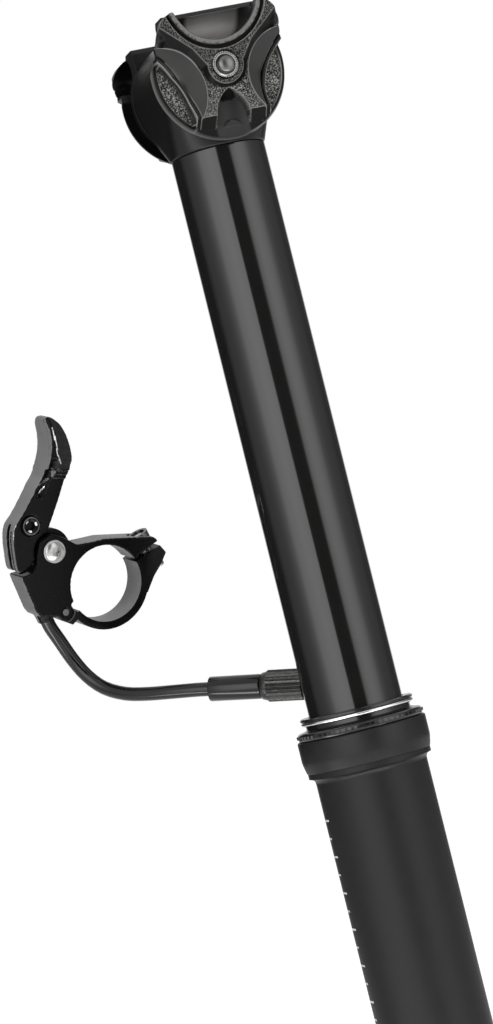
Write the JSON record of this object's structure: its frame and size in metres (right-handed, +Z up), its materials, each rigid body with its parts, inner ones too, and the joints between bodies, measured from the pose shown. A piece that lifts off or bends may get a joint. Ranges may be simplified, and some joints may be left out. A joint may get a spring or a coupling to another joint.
{
  "type": "dropper seatpost",
  "caption": "Dropper seatpost with a sliding stanchion, twin-cheek saddle clamp, cable-released lock collar and a hinged thumb lever that clamps on the handlebar.",
  "frame": {"origin": "on the post's axis at the top of the straight lower tube, where the frame's seat tube ends", "axes": "+Z up the post towards the saddle, +X forward, the clamp bolt along Y"},
  "size_m": [0.0909, 0.1039, 0.4304],
  "materials": {
    "tube_matte": "matte black anodised tube",
    "stanchion_gloss": "gloss black anodised tube",
    "collar_black": "satin black anodised",
    "forged_black": "satin black forging, grained in the pockets",
    "cradle_grey": "grey anodised",
    "seal_rubber": "gloss black rubber",
    "bumper_rubber": "red rubber buffer",
    "bright_steel": "bright steel",
    "bolt_steel": "grey steel",
    "bush_polymer": "grey sliding polymer",
    "spring_alloy": "plain alloy",
    "brass": "plain brass",
    "cable_black": "gloss black jacket",
    "ferrule_black": "gloss black anodised",
    "knurl_grey": "dark grey anodised, fine knurl",
    "lever_black": "satin black anodised",
    "screw_black": "black oxide steel"
  },
  "bodies": {
    "lower_post": {"lower_tube": "tube_matte", "collar": "collar_black", "wiper_seal": "seal_rubber", "wiper_ring": "bright_steel", "upper_bush": "bush_polymer", "top_out_bumper": "bumper_rubber", "base_cap": "collar_black", "base_cap_seal": "seal_rubber", "fill_valve": "brass", "gas_cylinder": "spring_alloy", "cylinder_gland": "spring_alloy", "rod_seal": "seal_rubber", "actuator_housing": "collar_black", "actuator_cover": "collar_black", "cover_screws": "bright_steel", "crank_pin": "bright_steel", "plate_springs": "bright_steel", "adjuster_stud": "bright_steel", "ferrule": "ferrule_black", "cable_housing": "cable_black", "lever_clamp": "lever_black", "band_pin": "bright_steel", "band_insert": "bright_steel", "pivot_bolt": "bright_steel", "pivot_bush": "brass", "lever_spring": "bright_steel"},
    "upper_post": {"stanchion": "stanchion_gloss", "head": "forged_black", "lower_bush": "bush_polymer", "guide_keys": "brass", "piston_rod": "bolt_steel", "piston": "spring_alloy", "piston_seal": "seal_rubber", "rod_nut": "bolt_steel"},
    "saddle_cradle": {"near_cradle": "cradle_grey", "far_cradle": "cradle_grey"},
    "near_side": {"near_cheek": "forged_black", "clamp_insert": "bolt_steel"},
    "far_side": {"far_cheek": "forged_black", "clamp_bolt": "bolt_steel", "bolt_washer": "bolt_steel"},
    "thumb_lever": {"lever_blade": "lever_black", "anchor_screw": "screw_black"},
    "lever_band": {"clamp_band": "lever_black", "band_bolt": "bright_steel"},
    "adjuster": {"barrel_adjuster": "knurl_grey"},
    "crank": {"release_crank": "bolt_steel", "wire_nipple": "bright_steel"},
    "upper_lock": {"hold_plate": "bolt_steel"},
    "lower_lock": {"lock_plate": "bolt_steel"}
  },
  "joints": [
    {"name": "post_slide", "type": "slide", "parent": "lower_post", "child": "upper_post", "axis": [0, 0, 1], "range_m": [-0.125, 0], "stiffness_N_per_m": 40, "springref_m": 0.6},
    {"name": "saddle_tilt", "type": "hinge", "parent": "upper_post", "child": "saddle_cradle", "pos_m": [0, 0, 0.1917], "axis": [0, 1, 0], "range_deg": [-15, 15]},
    {"name": "near_cheek_open", "type": "slide", "parent": "saddle_cradle", "child": "near_side", "axis": [0, -1, 0], "range_m": [0, 0.004]},
    {"name": "far_cheek_open", "type": "slide", "parent": "saddle_cradle", "child": "far_side", "axis": [0, 1, 0], "range_m": [0, 0.004]},
    {"name": "lever_pivot", "type": "hinge", "parent": "lower_post", "child": "thumb_lever", "pos_m": [-0.05904, 0.06122, 0.0808], "axis": [-0.1567, 0.9566, 0.2459], "range_deg": [0, 24], "stiffness_Nm_per_rad": 0.15, "springref_deg": -20.05, "deforming": ["lever_spring"]},
    {"name": "band_hinge", "type": "hinge", "parent": "lower_post", "child": "lever_band", "pos_m": [-0.05886, 0.06577, 0.0632], "axis": [-0.1567, 0.9566, 0.2459], "range_deg": [0, 40]},
    {"name": "crank_turn", "type": "hinge", "parent": "lower_post", "child": "crank", "pos_m": [0.00625, 0.01984, 0.0079], "axis": [0.3007, 0.9537, 0], "range_deg": [-14.5, 0]},
    {"name": "upper_lock_tilt", "type": "hinge", "parent": "lower_post", "child": "upper_lock", "pos_m": [-0.00451, -0.01431, 0.00885], "axis": [0.9537, -0.3007, 0], "range_deg": [-2, 0], "deforming": ["plate_springs"]},
    {"name": "lower_lock_tilt", "type": "hinge", "parent": "lower_post", "child": "lower_lock", "pos_m": [-0.00451, -0.01431, 0.00695], "axis": [0.9537, -0.3007, 0], "range_deg": [0, 2]},
    {"name": "adjuster_turn", "type": "hinge", "parent": "lower_post", "child": "adjuster", "pos_m": [0.00625, 0.01984, 0.0241], "axis": [-0.8306, 0.5291, 0.1736], "continuous": true}
  ],
  "couplings": [
    {"joint": "far_cheek_open", "follows": "near_cheek_open", "ratio": 1},
    {"joint": "crank_turn", "follows": "lever_pivot", "ratio": -0.604},
    {"joint": "upper_lock_tilt", "follows": "lever_pivot", "ratio": -0.083333},
    {"joint": "lower_lock_tilt", "follows": "lever_pivot", "ratio": 0.083333}
  ]
}
